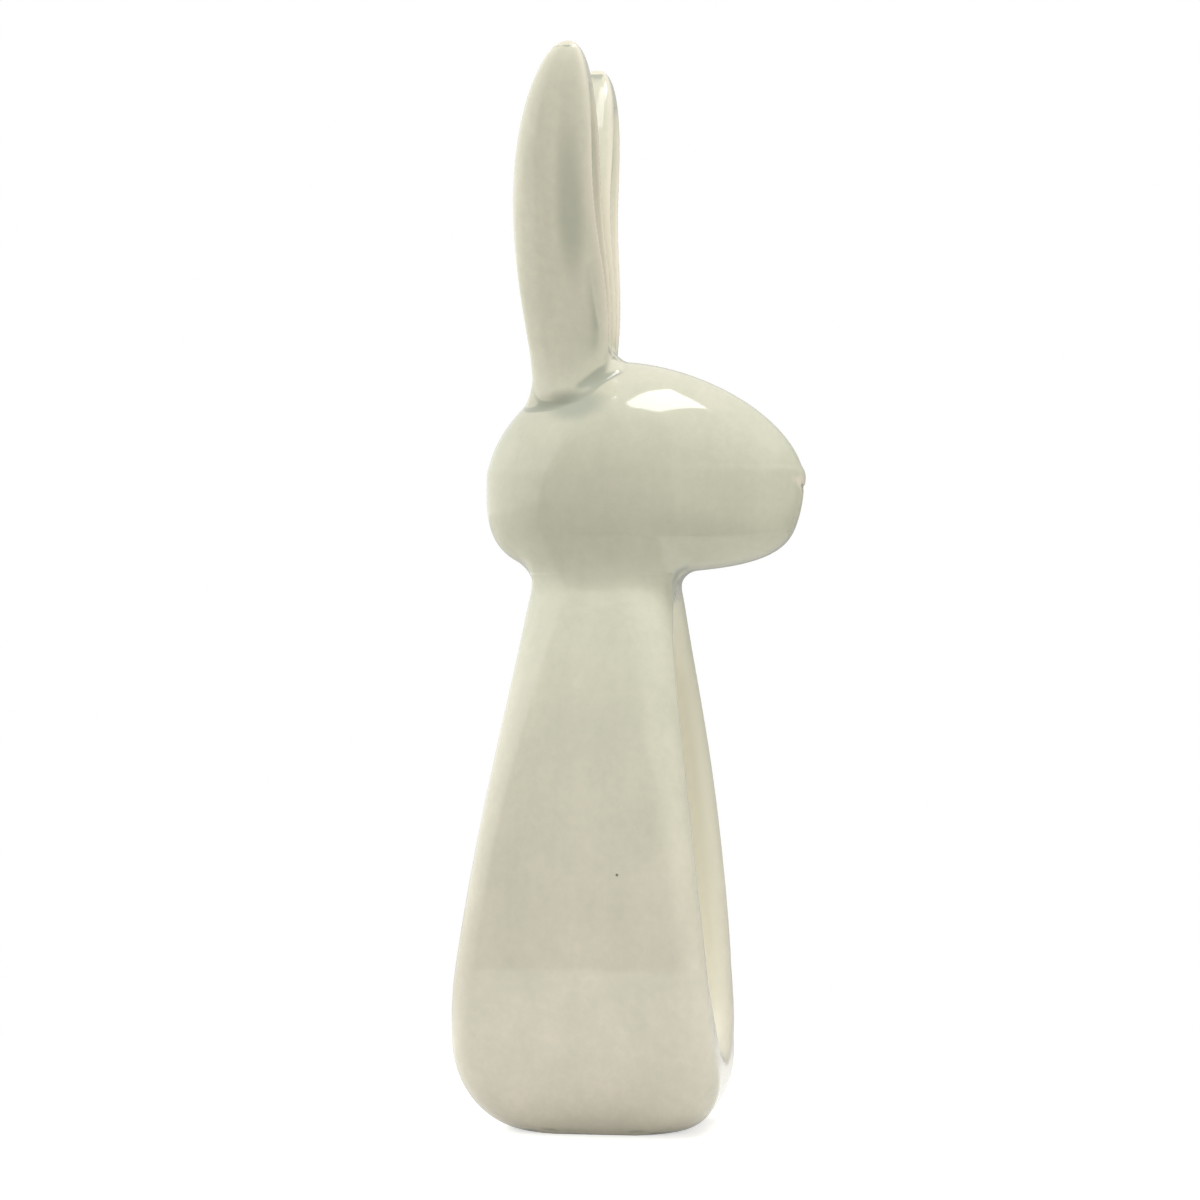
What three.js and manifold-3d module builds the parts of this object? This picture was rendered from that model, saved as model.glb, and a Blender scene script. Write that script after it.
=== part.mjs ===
// Rabbit ornament: a slip-cast, glazed ceramic rabbit whose body is an open loop.
// Millimetres, +Z up, standing on Z = 0. The rabbit faces -Y and its right side is -X.
// Four cast pieces are luted together: the loop, the head on its collar and two ears on tenons.
import * as THREE from "three";
import { mergeVertices } from "three/addons/utils/BufferGeometryUtils.js";
import Module from "manifold-3d";

// Heights above the table.
const TOTAL_HEIGHT = 300;
const NECK_JOINT_Z = 154;
const EAR_JOINT_Z = 220;
const HEAD_AXIS_Z = 181;
const BELLY_Z = 75;

// The loop: side view, as half depths of the bell that the legs follow.
const NECK_HALF_DEPTH = 19.5;
const HIP_HALF_DEPTH = 36.9;
const HIP_Z = 22;
const NECK_DRAFT = 0.12;
const NECK_RUN = 50;
const HIP_RUN = 20;
const NECK_FORWARD = 2.6;
const HIP_BACKWARD = 0.7;
const UNDERCUT_DEPTH = 15.6;
const UNDERCUT_HEIGHT = 20.5;
const FOOT_FORWARD = 2.2;
const FOOT_FORWARD_Z = 23;
const NECK_FILLET = 6;
const NECK_STUB_Z = 166;
const NECK_FILLET_FRONT = 5.3;
const NECK_FILLET_BACK = 4.2;
const NECK_FILLET_SIDE = 2;

// The loop: front view, as two nested ovals about the belly line.
const LOOP_HALF_WIDTH = 40;
const LOOP_RISE = 87;
const LOOP_DROP = 84;
const OPENING_HALF_WIDTH = 26;
const OPENING_RISE = 70;
const OPENING_DROP = 52.5;
const LOOP_FULLNESS = 2.2;
const EDGE_RADIUS = 8;
const OPENING_FLARE = 6;
const FACE_CROWN = 1.2;
const CROWN_SHARE = 0.05;
const CORNER_EASE = 0.2;
const SMALLEST = 0.4;
const NECK_CORNER_RADIUS = 14;
const FOOT_CORNER_RADIUS = 12.5;
const FOOT_CORNER_Z = 50;

// Casting and luting.
const WALL = 4.5;
const HOLLOW_TOP_Z = 200;
const DRAIN_HOLE_RADIUS = 3;
const FOOT_RECESS = 1;
const FOOT_RIM = 4;
const COLLAR_HEIGHT = 3;
const COLLAR_WALL = 2;
const TENON_LENGTH = 5;
const TENON_HALF_DEPTH = 5;
const TENON_HALF_WIDTH = 2.2;
const TENON_TAPER = 0.92;
const FIT_GAP = 0.3;
const CUT_PAST = 1;

// The head, measured from its axis, and its fullness in each quarter of the side view.
const HEAD_AXIS_FORWARD = 6;
const HEAD_FRONT = 52.1;
const CHIN_SETBACK = 1.5;
const CHIN_STEEPNESS = 8;
const HEAD_BACK = 37.5;
const HEAD_UP = 33.1;
const HEAD_DOWN = 27;
const HEAD_HALF_WIDTH = 25;
const BROW_FULLNESS = 1.72;
const CHIN_FULLNESS = 4.2;
const CHIN_LIFT = 3;
const CROWN_FULLNESS = 1.75;
const NAPE_FULLNESS = 3.3;
const CHEEK_FULLNESS = 2.5;
const MUZZLE_TAPER = 0.22;

// The nose and the cleft lip.
const NOSE_Z = 181.3;
const NOSE_LENGTH = 2.6;
const NOSE_HALF_WIDTH = 4.2;
const NOSE_HALF_HEIGHT = 3.2;
const NOSE_SEAT = 2.3;
const LIP_GROOVE_RADIUS = 1.2;
const LIP_GROOVE_HALF_WIDTH = 4;
const LIP_SETBACK = 3;
const LIP_REACH = 2;
const LIP_CORNER_RISE = 2.5;
const LIP_DIP = 3;
const CLEFT_LENGTH = 9;
const CLEFT_RADIUS = 0.8;
const CLEFT_TILT = THREE.MathUtils.degToRad(8);
const CLEFT_DEPTH = 0.6;

// The ears: an egg-shaped blade that leans out, bows back and is scooped on its front.
const EAR_LEAN = THREE.MathUtils.degToRad(14.9);
const EAR_ROOT_SPREAD = 5.6;
const EAR_ROOT_BEND = 10;
const EAR_ROOT_Z = 196;
const EAR_WIDEST_Z = 264;
const EAR_DEEPEST_Z = 240;
const EAR_HALF_DEPTH = 12.8;
const EAR_HALF_WIDTH = 9.4;
const EAR_STALK_HALF_WIDTH = 5.2;
const EAR_STALK_Z = 222;
const EAR_STALK_DRAW_IN = 1.1;
const EAR_ROOT_FLARE = 7;
const EAR_ROOT_DEEPENING = 0.9;
const EAR_BOW = 4.6;
const EAR_ROOT_BOW = 2.2;
const EAR_BOW_Z = 258;
const EAR_BOW_FOOT_Z = 208;
const EAR_SETBACK = 9;
const TIP_FULLNESS = 2.2;
const RIM_FULLNESS = 6;
const BACK_FULLNESS = 2.1;
const SCOOP_TOP_Z = 289;
const SCOOP_FOOT_Z = 210;
const SCOOP_DEPTH = 7;
const SCOOP_RIM = 2;
const SCOOP_MOUTH = 1;
const SCOOP_ROUNDNESS = 0.6;
const SCOOP_END_SHARE = 0.35;

// How finely the curves are divided.
const CORNER_STEPS = 5;
const SIDE_STEPS = 4;
const LEVELS = 26;
const LEVEL_CROWDING = 1.35;
const FILLET_LEVELS = 5;
const STUB_LEVELS = 3;
const OPENING_STEPS = 48;
const MOUTH_STEPS = 40;
const DRAIN_STEPS = 24;
const RECESS_STEPS = 40;
const HEAD_STEPS = 48;
const HEAD_RINGS = 24;
const NOSE_STEPS = 20;
const NOSE_RINGS = 14;
const LIP_STEPS = 14;
const GROOVE_STEPS = 8;
const EAR_STEPS = 24;
const TENON_STEPS = 24;
const EAR_RINGS = 22;
const EAR_RING_CROWDING = 0.9;
const SCOOP_STEPS = 20;
const SCOOP_RINGS = 18;
const HOLLOW_SHARE = 0.5;

const wasm = await Module();
wasm.setup();

// Small helpers: a closed loft through rings of points, and its solid.
function loft(rings) {
  const points = [];
  const faces = [];
  const starts = [];
  for (const ring of rings) {
    starts.push(points.length);
    points.push(...ring);
  }
  const cap = (ring, start, flip) => {
    if (ring.length === 1) return;
    const middle = ring.reduce((sum, p) => sum.add(p), new THREE.Vector3()).divideScalar(ring.length);
    points.push(middle);
    const hub = points.length - 1;
    for (let i = 0; i < ring.length; i += 1) {
      const j = (i + 1) % ring.length;
      faces.push(...(flip ? [hub, start + j, start + i] : [hub, start + i, start + j]));
    }
  };
  for (let k = 0; k + 1 < rings.length; k += 1) {
    const count = Math.max(rings[k].length, rings[k + 1].length);
    for (let i = 0; i < count; i += 1) {
      const j = (i + 1) % count;
      const a = starts[k] + (rings[k].length === 1 ? 0 : i);
      const b = starts[k] + (rings[k].length === 1 ? 0 : j);
      const c = starts[k + 1] + (rings[k + 1].length === 1 ? 0 : i);
      const d = starts[k + 1] + (rings[k + 1].length === 1 ? 0 : j);
      if (a !== b) faces.push(a, b, d);
      if (c !== d) faces.push(a, d, c);
    }
  }
  cap(rings[0], starts[0], true);
  cap(rings[rings.length - 1], starts[rings.length - 1], false);
  const geometry = new THREE.BufferGeometry();
  const positions = points.flatMap((p) => [p.x, p.y, p.z]);
  geometry.setAttribute("position", new THREE.Float32BufferAttribute(positions, 3));
  geometry.setIndex(faces);
  return geometry;
}

function solidOf(geometry) {
  const bare = geometry.clone();
  bare.deleteAttribute("normal");
  bare.deleteAttribute("uv");
  const merged = mergeVertices(bare, 1e-4);
  const solid = new wasm.Manifold(
    new wasm.Mesh({
      numProp: 3,
      vertProperties: new Float32Array(merged.attributes.position.array),
      triVerts: new Uint32Array(merged.index.array),
    }),
  );
  if (solid.volume() > 0) return solid;
  const turned = merged.index.array.slice();
  for (let i = 0; i < turned.length; i += 3) {
    [turned[i + 1], turned[i + 2]] = [turned[i + 2], turned[i + 1]];
  }
  merged.setIndex([...turned]);
  return solidOf(merged);
}

function raised(ring, z) {
  return ring.map((p) => new THREE.Vector3(p.x, p.y, z));
}

function slab(lowZ, highZ) {
  const reach = 4 * TOTAL_HEIGHT;
  const box = new THREE.BoxGeometry(reach, reach, highZ - lowZ);
  return solidOf(box.translate(0, 0, (lowZ + highZ) / 2));
}

const clamp01 = (t) => Math.min(1, Math.max(0, t));
const ease = (t) => clamp01(t) ** 2 * (3 - 2 * clamp01(t));
const forward = (u, v, z) => new THREE.Vector3(v, -u, z);

// Quarter of a superellipse: the half size that is left at a share t of the way out.
function oval(t, fullness) {
  return Math.max(0, 1 - Math.abs(t) ** fullness) ** (1 / fullness);
}

// The bell's half depth at a height, read off a Bezier side line, with the undercut to the foot.
const sideLine = new THREE.CubicBezierCurve(
  new THREE.Vector2(NECK_HALF_DEPTH, NECK_JOINT_Z),
  new THREE.Vector2(NECK_HALF_DEPTH + NECK_DRAFT * NECK_RUN, NECK_JOINT_Z - NECK_RUN),
  new THREE.Vector2(HIP_HALF_DEPTH, HIP_Z + HIP_RUN),
  new THREE.Vector2(HIP_HALF_DEPTH, HIP_Z),
);

function lineAt(curve, z) {
  let low = 0;
  let high = 1;
  for (let i = 0; i < 40; i += 1) {
    const middle = (low + high) / 2;
    if (curve.getPoint(middle).y > z) low = middle;
    else high = middle;
  }
  return curve.getPoint((low + high) / 2).x;
}

// How far the fillet under the head has widened the neck at a height.
function neckFlare(z, drop) {
  const t = clamp01((z - NECK_JOINT_Z + drop) / NECK_FILLET);
  return NECK_FILLET * (1 - Math.sqrt(1 - t * t));
}

function bellHalfDepth(z, inset) {
  const side = z < NECK_JOINT_Z ? lineAt(sideLine, z) : NECK_HALF_DEPTH;
  const height = UNDERCUT_HEIGHT - inset;
  const under = clamp01((UNDERCUT_HEIGHT - z) / height);
  const tucked = (UNDERCUT_DEPTH - inset) * (1 - oval(under, 2));
  const flare = (neckFlare(z, NECK_FILLET_FRONT) + neckFlare(z, NECK_FILLET_BACK)) / 2;
  return side + flare - inset - tucked;
}

function bellHalfWidth(z, inset) {
  const rise = (z - BELLY_Z) / (LOOP_RISE - inset);
  const drop = (BELLY_Z - z) / (LOOP_DROP - inset);
  const share = z > BELLY_Z ? oval(rise, LOOP_FULLNESS) : oval(drop, 2);
  return (LOOP_HALF_WIDTH - inset) * share + neckFlare(z, NECK_FILLET_SIDE);
}

function bellForward(z) {
  const climb = clamp01((z - HIP_Z - HIP_RUN) / (NECK_JOINT_Z - HIP_Z - HIP_RUN));
  const foot = FOOT_FORWARD * clamp01(1 - z / FOOT_FORWARD_Z);
  const flare = (neckFlare(z, NECK_FILLET_FRONT) - neckFlare(z, NECK_FILLET_BACK)) / 2;
  return (NECK_FORWARD + HIP_BACKWARD) * Math.sin((climb * Math.PI) / 2) - HIP_BACKWARD + foot + flare;
}

// One level of the bell: a rectangle with rounded corners and gently crowned sides.
function bellRing(z, inset, steps) {
  const a = bellHalfDepth(z, inset);
  const b = Math.max(bellHalfWidth(z, inset), SMALLEST);
  const c = bellForward(z);
  const up = ease((z - BELLY_Z) / (NECK_JOINT_Z - BELLY_Z));
  const down = ease((FOOT_CORNER_Z - z) / FOOT_CORNER_Z);
  const upper = up * (NECK_CORNER_RADIUS - EDGE_RADIUS);
  const lower = down * (FOOT_CORNER_RADIUS - EDGE_RADIUS);
  const r = Math.max(SMALLEST, Math.min(EDGE_RADIUS + upper + lower - inset, a, b) - CORNER_EASE);
  const ring = [];
  const corners = [
    [1, 1],
    [-1, 1],
    [-1, -1],
    [1, -1],
  ];
  corners.forEach(([su, sv], k) => {
    const start = (k * Math.PI) / 2;
    for (let i = 0; i <= steps; i += 1) {
      const angle = start + (i / steps) * (Math.PI / 2);
      const u = su * (a - r) + r * Math.cos(angle);
      const v = sv * (b - r) + r * Math.sin(angle);
      ring.push([u, v]);
    }
    const [nu, nv] = corners[(k + 1) % 4];
    const from = ring[ring.length - 1];
    const next = start + Math.PI / 2;
    const to = [nu * (a - r) + r * Math.cos(next), nv * (b - r) + r * Math.sin(next)];
    for (let i = 1; i < SIDE_STEPS; i += 1) {
      const t = i / SIDE_STEPS;
      ring.push([from[0] + t * (to[0] - from[0]), from[1] + t * (to[1] - from[1])]);
    }
  });
  const crown = Math.min(FACE_CROWN, b * CROWN_SHARE);
  return ring.map(([u, v]) => {
    const fall = crown * (u / a) ** 2 * (Math.abs(v) / b);
    return forward(c + u, v - Math.sign(v) * fall, z);
  });
}

// The neck's joint outline moved up to a height, and out at its front and back by the fillet.
function widened(ring, z) {
  const front = neckFlare(z, NECK_FILLET_FRONT) - neckFlare(NECK_JOINT_Z, NECK_FILLET_FRONT);
  const back = neckFlare(z, NECK_FILLET_BACK) - neckFlare(NECK_JOINT_Z, NECK_FILLET_BACK);
  const middle = -bellForward(NECK_JOINT_Z);
  const depth = bellHalfDepth(NECK_JOINT_Z, 0);
  return raised(ring, z).map((p) => {
    const share = (p.y - middle) / depth;
    return p.setY(p.y + share * (share > 0 ? back : front));
  });
}

// The levels of the bell, closer together where the foot turns under and at the neck's fillet.
function levelsBetween(low, high, count) {
  const fillet = NECK_JOINT_Z - NECK_FILLET_FRONT;
  const levels = [];
  for (let i = 0; i < count; i += 1) {
    levels.push(low + (fillet - low) * (i / count) ** LEVEL_CROWDING);
  }
  for (let i = 0; i <= FILLET_LEVELS; i += 1) {
    levels.push(fillet + ((high - fillet) * i) / FILLET_LEVELS);
  }
  return levels;
}

function bell(low, high, inset) {
  const share = inset > 0 ? HOLLOW_SHARE : 1;
  const steps = Math.ceil(CORNER_STEPS * share);
  const levels = levelsBetween(low, high, Math.ceil(LEVELS * share));
  return solidOf(loft(levels.map((z) => bellRing(z, inset, steps))));
}

// The opening's outline in the front view, moved outwards by a given amount.
function openingPoint(angle, out) {
  const halfHeight = Math.sin(angle) > 0 ? OPENING_RISE : OPENING_DROP;
  const power = Math.sin(angle) > 0 ? 2 / LOOP_FULLNESS : 1;
  const c = Math.cos(angle);
  const s = Math.sin(angle);
  const shape = (value) => Math.sign(value) * Math.abs(value) ** power;
  return [(OPENING_HALF_WIDTH + out) * shape(c), BELLY_Z + (halfHeight + out) * shape(s)];
}

function flareAt(depthInside) {
  if (depthInside >= OPENING_FLARE) return 0;
  const t = 1 - Math.max(depthInside, 0) / OPENING_FLARE;
  return OPENING_FLARE * (1 - Math.sqrt(1 - t * t));
}

// Where the opening is sectioned, as shares of the way from the middle to a face of the bell.
const PAST_FACE = 1.5;
const ROLL_SHARES = [0.76, 0.84, 0.9, 0.95, 0.985, 1, PAST_FACE];
const MOUTH_SHARES = [...ROLL_SHARES.map((share) => -share).reverse(), 0, ...ROLL_SHARES];

// The opening as a solid: straight through the bell, with its two mouths rolled out.
function opening(out, flared) {
  const count = Math.ceil(OPENING_STEPS * (flared ? 1 : HOLLOW_SHARE));
  const rings = (flared ? MOUTH_SHARES : [-PAST_FACE, 0, PAST_FACE]).map((share) => {
    const ring = [];
    for (let i = 0; i < count; i += 1) {
      const angle = (i / count) * Math.PI * 2;
      const [, level] = openingPoint(angle, out);
      const z = Math.min(Math.max(level, HIP_Z), NECK_JOINT_Z);
      const half = bellHalfDepth(Math.max(z, UNDERCUT_HEIGHT), 0);
      const roll = flared ? flareAt((1 - Math.abs(share)) * half) : 0;
      const [v, height] = openingPoint(angle, out + roll);
      ring.push(forward(bellForward(z) + share * half, v, height));
    }
    return ring;
  });
  return solidOf(loft(rings));
}

// The mouth between the hollow of the loop and the hollow of the head.
function mouth(low, high, out) {
  const ring = (z) => {
    const a = bellHalfDepth(NECK_JOINT_Z, WALL) - CUT_PAST + out;
    const b = bellHalfWidth(NECK_JOINT_Z, WALL) - CUT_PAST + out;
    return Array.from({ length: MOUTH_STEPS }, (_, i) => {
      const angle = (i / MOUTH_STEPS) * Math.PI * 2;
      return forward(bellForward(NECK_JOINT_Z) + a * Math.cos(angle), b * Math.sin(angle), z);
    });
  };
  return solidOf(loft([ring(low), ring(high)]));
}

// The head: its side outline shrinks to the cheek on each side.
function headPoint(angle, share, sideways, inset) {
  const c = Math.cos(angle);
  const s = Math.sin(angle);
  const front = c > 0;
  const above = s > 0;
  const [upper, lower] = front ? [BROW_FULLNESS, CHIN_FULLNESS] : [CROWN_FULLNESS, NAPE_FULLNESS];
  const fullness = above ? upper : lower;
  const setback = CHIN_SETBACK * ease(-CHIN_STEEPNESS * s);
  const along = (front ? HEAD_FRONT - setback : HEAD_BACK) - inset;
  const high = (above ? HEAD_UP : HEAD_DOWN) - inset;
  const radius = (Math.abs(c / along) ** fullness + Math.abs(s / high) ** fullness) ** (-1 / fullness);
  const u = radius * c * share;
  const taper = 1 - MUZZLE_TAPER * ease(u / HEAD_FRONT);
  const fall = radius * s * share;
  const lift = front && !above ? (CHIN_LIFT * u * -fall) / (HEAD_FRONT * HEAD_DOWN) : 0;
  return forward(HEAD_AXIS_FORWARD + u, sideways * taper, HEAD_AXIS_Z + fall + lift);
}

function headForm(inset) {
  const half = HEAD_HALF_WIDTH - inset;
  const fine = inset > 0 ? HOLLOW_SHARE : 1;
  const count = Math.ceil(HEAD_RINGS * fine);
  const steps = Math.ceil(HEAD_STEPS * fine);
  const rings = [];
  for (let k = 0; k <= count; k += 1) {
    const v = -Math.cos((k / count) * Math.PI);
    const share = oval(v, CHEEK_FULLNESS);
    if (k === 0 || k === count) {
      rings.push([headPoint(0, 0, half * v, inset)]);
    } else {
      const angles = Array.from({ length: steps }, (_, i) => (i / steps) * Math.PI * 2);
      rings.push(angles.map((angle) => headPoint(angle, share, half * v, inset)));
    }
  }
  return solidOf(loft(rings));
}

// One ear, from inside the crown to its tip; side is -1 for the rabbit's right, 1 for its left.
// Its middle line leans out, and bends upright over its root.
function earOut(z) {
  const above = z - EAR_JOINT_Z;
  return EAR_ROOT_SPREAD + (Math.tan(EAR_LEAN) * (above + Math.hypot(above, EAR_ROOT_BEND))) / 2;
}

function earSizes(z) {
  const top = (z - EAR_DEEPEST_Z) / (TOTAL_HEIGHT - EAR_DEEPEST_Z);
  const draw = EAR_STALK_DRAW_IN * ((EAR_DEEPEST_Z - z) / (EAR_DEEPEST_Z - EAR_JOINT_Z)) ** 2;
  const rootGrowth = EAR_ROOT_FLARE * clamp01((EAR_JOINT_Z - z) / (EAR_JOINT_Z - EAR_ROOT_Z)) ** 2;
  const deep = z > EAR_DEEPEST_Z ? EAR_HALF_DEPTH * oval(top, TIP_FULLNESS) : EAR_HALF_DEPTH - draw;
  const climb = ease((z - EAR_STALK_Z) / (EAR_WIDEST_Z - EAR_STALK_Z));
  const tip = (z - EAR_WIDEST_Z) / (TOTAL_HEIGHT - EAR_WIDEST_Z);
  const stalk = EAR_STALK_HALF_WIDTH + (EAR_HALF_WIDTH - EAR_STALK_HALF_WIDTH) * climb;
  const wide = z > EAR_WIDEST_Z ? EAR_HALF_WIDTH * oval(tip, TIP_FULLNESS) : stalk;
  const upper = EAR_BOW * ((z - EAR_BOW_Z) / (TOTAL_HEIGHT - EAR_BOW_Z)) ** 2;
  const lower = EAR_ROOT_BOW * ease((EAR_BOW_Z - z) / (EAR_BOW_Z - EAR_BOW_FOOT_Z));
  const bow = z > EAR_BOW_Z ? upper : lower;
  return {
    deep: deep + rootGrowth * EAR_ROOT_DEEPENING,
    wide: wide + rootGrowth,
    back: EAR_SETBACK - bow,
    out: earOut(z),
  };
}

function earBlade(side) {
  const rings = [];
  for (let k = 0; k <= EAR_RINGS; k += 1) {
    const t = k / EAR_RINGS;
    const z = EAR_ROOT_Z + (TOTAL_HEIGHT - EAR_ROOT_Z) * Math.sin((t * Math.PI) / 2) ** EAR_RING_CROWDING;
    const { deep, wide, back, out } = earSizes(z);
    if (k === EAR_RINGS) {
      rings.push([forward(-back, side * out, z)]);
    } else {
      const ring = [];
      for (let i = 0; i < EAR_STEPS; i += 1) {
        const angle = (i / EAR_STEPS) * Math.PI * 2;
        const c = Math.cos(angle);
        const s = Math.sin(angle);
        const fullness = c > 0 ? RIM_FULLNESS : BACK_FULLNESS;
        const radius = (Math.abs(c) ** fullness + Math.abs(s) ** fullness) ** (-1 / fullness);
        const u = deep * radius * c;
        const v = wide * radius * s;
        ring.push(forward(-back + u, side * (out + v), z));
      }
      rings.push(ring);
    }
  }
  return solidOf(loft(rings));
}

function earScoop(side) {
  const rings = [];
  for (let k = 0; k <= SCOOP_RINGS; k += 1) {
    const t = k / SCOOP_RINGS;
    const z = SCOOP_FOOT_Z + (SCOOP_TOP_Z - SCOOP_FOOT_Z) * t;
    const { deep, wide, back } = earSizes(Math.max(z, EAR_JOINT_Z));
    const fade = Math.sin(t * Math.PI) ** SCOOP_ROUNDNESS;
    const width = SCOOP_END_SHARE + (1 - SCOOP_END_SHARE) * fade;
    const half = Math.max(SMALLEST, (wide - SCOOP_RIM) * width);
    const depth = SCOOP_DEPTH * fade;
    const front = -back + deep;
    const middle = earOut(z);
    const ring = [];
    for (let i = 0; i < SCOOP_STEPS; i += 1) {
      const angle = (i / SCOOP_STEPS) * Math.PI * 2;
      const u = front + Math.cos(angle) * (Math.cos(angle) > 0 ? SCOOP_MOUTH : depth);
      ring.push(forward(u, side * (middle + half * Math.sin(angle)), z));
    }
    rings.push(ring);
  }
  return solidOf(loft(rings));
}

function tenon(side, grow) {
  const { back, out } = earSizes(EAR_JOINT_Z);
  const length = TENON_LENGTH + grow + CUT_PAST;
  const peg = new THREE.CylinderGeometry(1, TENON_TAPER, length, TENON_STEPS);
  peg.rotateX(Math.PI / 2);
  peg.scale(TENON_HALF_WIDTH + grow, TENON_HALF_DEPTH + grow, 1);
  peg.translate(side * out, back, EAR_JOINT_Z + CUT_PAST - length / 2);
  return solidOf(peg);
}

// The nose and the lip under it.
function noseTip() {
  const nose = new THREE.SphereGeometry(1, NOSE_STEPS, NOSE_RINGS);
  nose.scale(NOSE_HALF_WIDTH, NOSE_LENGTH, NOSE_HALF_HEIGHT);
  const p = forward(HEAD_AXIS_FORWARD + HEAD_FRONT - NOSE_SEAT, 0, NOSE_Z);
  return solidOf(nose.translate(p.x, p.y, p.z));
}

function lipCuts() {
  const front = HEAD_AXIS_FORWARD + HEAD_FRONT;
  const under = NOSE_Z - NOSE_HALF_HEIGHT;
  const bend = new THREE.QuadraticBezierCurve3(
    forward(front - LIP_SETBACK, -LIP_GROOVE_HALF_WIDTH, under + LIP_CORNER_RISE),
    forward(front + LIP_REACH, 0, under - LIP_DIP),
    forward(front - LIP_SETBACK, LIP_GROOVE_HALF_WIDTH, under + LIP_CORNER_RISE),
  );
  const groove = new THREE.Shape().absarc(0, 0, LIP_GROOVE_RADIUS, 0, Math.PI * 2);
  const sweep = new THREE.ExtrudeGeometry(groove, {
    steps: LIP_STEPS,
    extrudePath: bend,
    curveSegments: GROOVE_STEPS,
  });
  const cleft = new THREE.CylinderGeometry(CLEFT_RADIUS, CLEFT_RADIUS, CLEFT_LENGTH, GROOVE_STEPS);
  cleft.rotateX(Math.PI / 2 - CLEFT_TILT);
  const p = forward(front - CLEFT_DEPTH, 0, under - CLEFT_LENGTH / 2);
  return solidOf(sweep).add(solidOf(cleft.translate(p.x, p.y, p.z)));
}

// The loop piece: bell less opening, hollowed, with the collar, the foot recess and the drain.
const collarTop = NECK_JOINT_Z + COLLAR_HEIGHT;
const belowNeck = slab(-CUT_PAST, NECK_JOINT_Z);
const aboveNeck = slab(NECK_JOINT_Z, TOTAL_HEIGHT + CUT_PAST);
const hollow = bell(WALL, collarTop + CUT_PAST, WALL).subtract(opening(WALL, false));
const collar = mouth(NECK_JOINT_Z - CUT_PAST, collarTop, COLLAR_WALL);
const throat = mouth(NECK_JOINT_Z - COLLAR_HEIGHT, collarTop + CUT_PAST, 0);
const drain = new THREE.CylinderGeometry(DRAIN_HOLE_RADIUS, DRAIN_HOLE_RADIUS, 4 * WALL, DRAIN_STEPS);
drain.rotateX(Math.PI / 2);
const recess = new THREE.CylinderGeometry(1, 1, 2 * FOOT_RECESS, RECESS_STEPS);
recess.rotateX(Math.PI / 2);
const footHalfDepth = bellHalfDepth(0, 0) - FOOT_RIM;
const footHalfWidth = bellHalfWidth(0, 0) - FOOT_RIM;
recess.scale(footHalfWidth, footHalfDepth, 1);
const footCentre = forward(bellForward(0), 0, 0);
const loop = bell(0, NECK_JOINT_Z, 0)
  .subtract(hollow.intersect(belowNeck))
  .add(collar)
  .subtract(throat)
  .subtract(opening(0, true))
  .subtract(solidOf(drain.translate(footCentre.x, footCentre.y, 0)))
  .subtract(solidOf(recess.translate(footCentre.x, footCentre.y, 0)));

// The head piece: skull, neck and ear roots, hollowed below, with its sockets and seat.
const rights = earBlade(-1);
const lefts = earBlade(1);
const neckRing = bellRing(NECK_JOINT_Z, 0, CORNER_STEPS);
const neckRings = [raised(neckRing, NECK_JOINT_Z - CUT_PAST)];
for (let i = 0; i <= STUB_LEVELS; i += 1) {
  neckRings.push(widened(neckRing, NECK_JOINT_Z + (i / STUB_LEVELS) * (NECK_FILLET - NECK_FILLET_BACK)));
}
neckRings.push(raised(neckRings[STUB_LEVELS + 1], NECK_STUB_Z));
const neckStub = solidOf(loft(neckRings));
const headHollow = headForm(WALL)
  .intersect(slab(collarTop, HOLLOW_TOP_Z))
  .add(mouth(NECK_JOINT_Z - CUT_PAST, collarTop + COLLAR_HEIGHT, COLLAR_WALL + FIT_GAP));
const skull = headForm(0)
  .add(neckStub)
  .add(rights.intersect(slab(0, EAR_JOINT_Z)))
  .add(lefts.intersect(slab(0, EAR_JOINT_Z)))
  .add(noseTip())
  .intersect(aboveNeck)
  .intersect(slab(0, EAR_JOINT_Z))
  .subtract(earScoop(-1))
  .subtract(earScoop(1))
  .subtract(lipCuts())
  .subtract(headHollow)
  .subtract(tenon(-1, FIT_GAP))
  .subtract(tenon(1, FIT_GAP));

// The ears above their joint, each with its tenon.
const aboveEar = slab(EAR_JOINT_Z, TOTAL_HEIGHT + CUT_PAST);
const earRight = rights.intersect(aboveEar).subtract(earScoop(-1)).add(tenon(-1, 0));
const earLeft = lefts.intersect(aboveEar).subtract(earScoop(1)).add(tenon(1, 0));

// The glaze: one dip, a little paler where it lies thinner over the head and the ears.
const GLAZE_ROUGHNESS = 0.12;
const BODY_GLAZE = 0xd9d6c2;
const HEAD_GLAZE = 0xdbd8c5;
const EAR_GLAZE = 0xdcd9c6;

function glazed(hex) {
  const color = new THREE.Color(hex);
  return new THREE.MeshStandardMaterial({ color, roughness: GLAZE_ROUGHNESS, metalness: 0 });
}

function meshOf(name, solid, material) {
  const { numProp, vertProperties, triVerts } = solid.getMesh();
  const geometry = new THREE.BufferGeometry();
  const positions = new Float32Array((vertProperties.length / numProp) * 3);
  for (let i = 0; i < positions.length / 3; i += 1) {
    for (let k = 0; k < 3; k += 1) positions[3 * i + k] = vertProperties[numProp * i + k];
  }
  geometry.setAttribute("position", new THREE.BufferAttribute(positions, 3));
  geometry.setIndex(new THREE.BufferAttribute(new Uint32Array(triVerts), 1));
  geometry.computeVertexNormals();
  const mesh = new THREE.Mesh(geometry, material);
  mesh.name = name;
  return mesh;
}

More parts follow.
